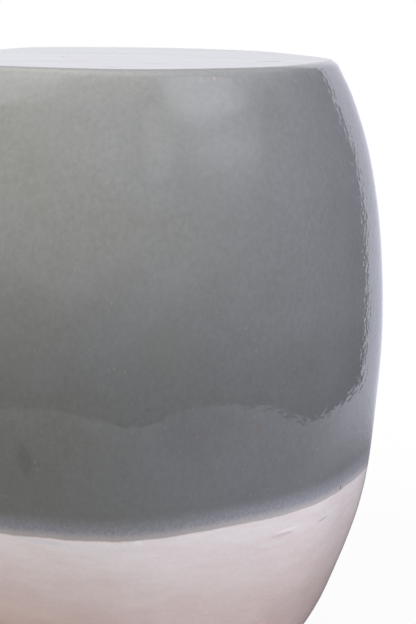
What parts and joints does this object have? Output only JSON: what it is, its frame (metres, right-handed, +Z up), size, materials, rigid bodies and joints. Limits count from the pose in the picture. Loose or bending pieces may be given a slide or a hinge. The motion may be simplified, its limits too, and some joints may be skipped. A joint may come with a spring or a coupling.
{
  "type": "ceramic garden stool",
  "caption": "Hollow barrel-shaped ceramic garden stool with a flat closed seat, softly flattened sides, a dipped two-tone glaze and an open base on small pads.",
  "frame": {"origin": "centre of the stool's outline on the floor, under the pads", "axes": "+Z up through the middle of the barrel to the seat, -Y towards the side that the picture shows, +X to its right"},
  "size_m": [0.3734, 0.3635, 0.457],
  "materials": {
    "fired_clay": "matt fired stoneware",
    "grey_glaze": "gloss",
    "pale_glaze": "gloss",
    "pad_rubber": "matt"
  },
  "bodies": {
    "root": {"lower_wall": "fired_clay", "upper_wall": "fired_clay", "seat_slab": "fired_clay", "base_ring": "fired_clay", "seat_coil": "fired_clay", "belly_coil": "fired_clay", "base_coil": "fired_clay", "grey_glaze": "grey_glaze", "pale_glaze": "pale_glaze", "foot_pad_1": "pad_rubber", "foot_pad_2": "pad_rubber", "foot_pad_3": "pad_rubber", "foot_pad_4": "pad_rubber"}
  },
  "joints": []
}
